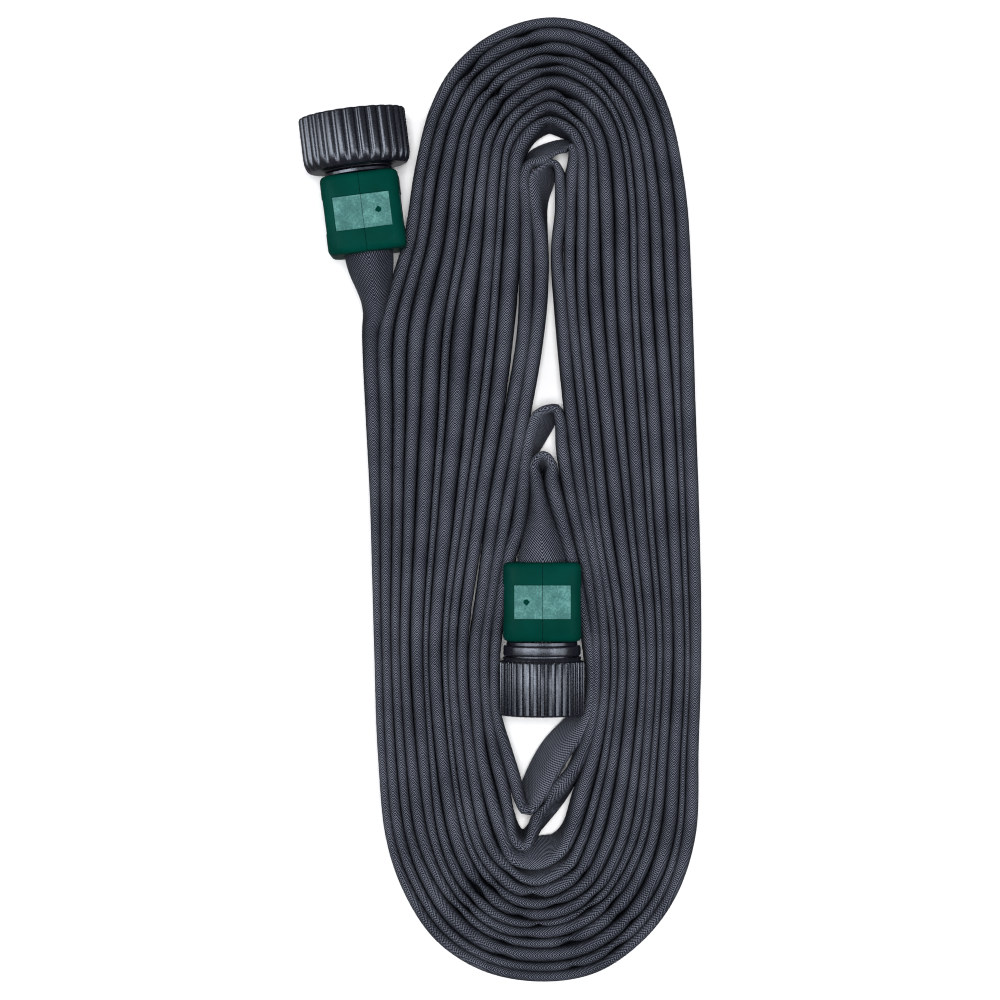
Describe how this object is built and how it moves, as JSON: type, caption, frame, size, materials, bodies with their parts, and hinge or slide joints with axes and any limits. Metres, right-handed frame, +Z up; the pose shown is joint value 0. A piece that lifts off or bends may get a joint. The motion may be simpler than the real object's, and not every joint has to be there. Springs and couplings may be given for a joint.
{
  "type": "soaker hose",
  "caption": "Flat fabric soaker hose wound on its edge into a long oval coil, with a ribbed swivel nut at one end and a screwed, ribbed cap at the other.",
  "frame": {"origin": "middle of the wound coil, on the surface that it lies on", "axes": "+X across the coil, +Y along it towards the inlet's end, +Z up"},
  "size_m": [0.1434, 0.3433, 0.0381],
  "materials": {
    "woven_jacket": "dark blue-grey twill weave",
    "green_plastic": "moulded, semi-gloss, with matte pads",
    "black_plastic": "moulded, satin, ribbed",
    "washer_rubber": "matt",
    "liner": "matt",
    "disc_plastic": "moulded"
  },
  "bodies": {
    "hose": {"hose_lead": "woven_jacket", "hose_coil": "woven_jacket", "hose_tail": "woven_jacket", "inlet_jacket_end": "woven_jacket", "inlet_liner_end": "liner", "inlet_clamp_left": "green_plastic", "inlet_clamp_right": "green_plastic", "inlet_tailpiece": "black_plastic", "flow_disc": "disc_plastic", "outlet_jacket_end": "woven_jacket", "outlet_liner_end": "liner", "outlet_clamp_left": "green_plastic", "outlet_clamp_right": "green_plastic", "outlet_tailpiece": "black_plastic"},
    "swivel_nut": {"inlet_nut": "black_plastic", "inlet_washer": "washer_rubber"},
    "cap_seal": {"cap_washer": "washer_rubber"},
    "cap": {"end_cap": "black_plastic"}
  },
  "joints": [
    {"name": "nut_swivel", "type": "hinge", "parent": "hose", "child": "swivel_nut", "pos_m": [-0.06291, 0.12668, 0.0191], "axis": [-0.1253, 0.9921, 0], "continuous": true},
    {"name": "cap_travel", "type": "slide", "parent": "hose", "child": "cap_seal", "axis": [0, -1, 0], "range_m": [0, 0.0056]},
    {"name": "cap_turn", "type": "hinge", "parent": "cap_seal", "child": "cap", "pos_m": [0.00355, -0.067, 0.0151], "axis": [0, -1, 0], "range_deg": [0, 900]}
  ],
  "couplings": [
    {"joint": "cap_travel", "follows": "cap_turn", "m_per_rad": 0.00035152}
  ]
}
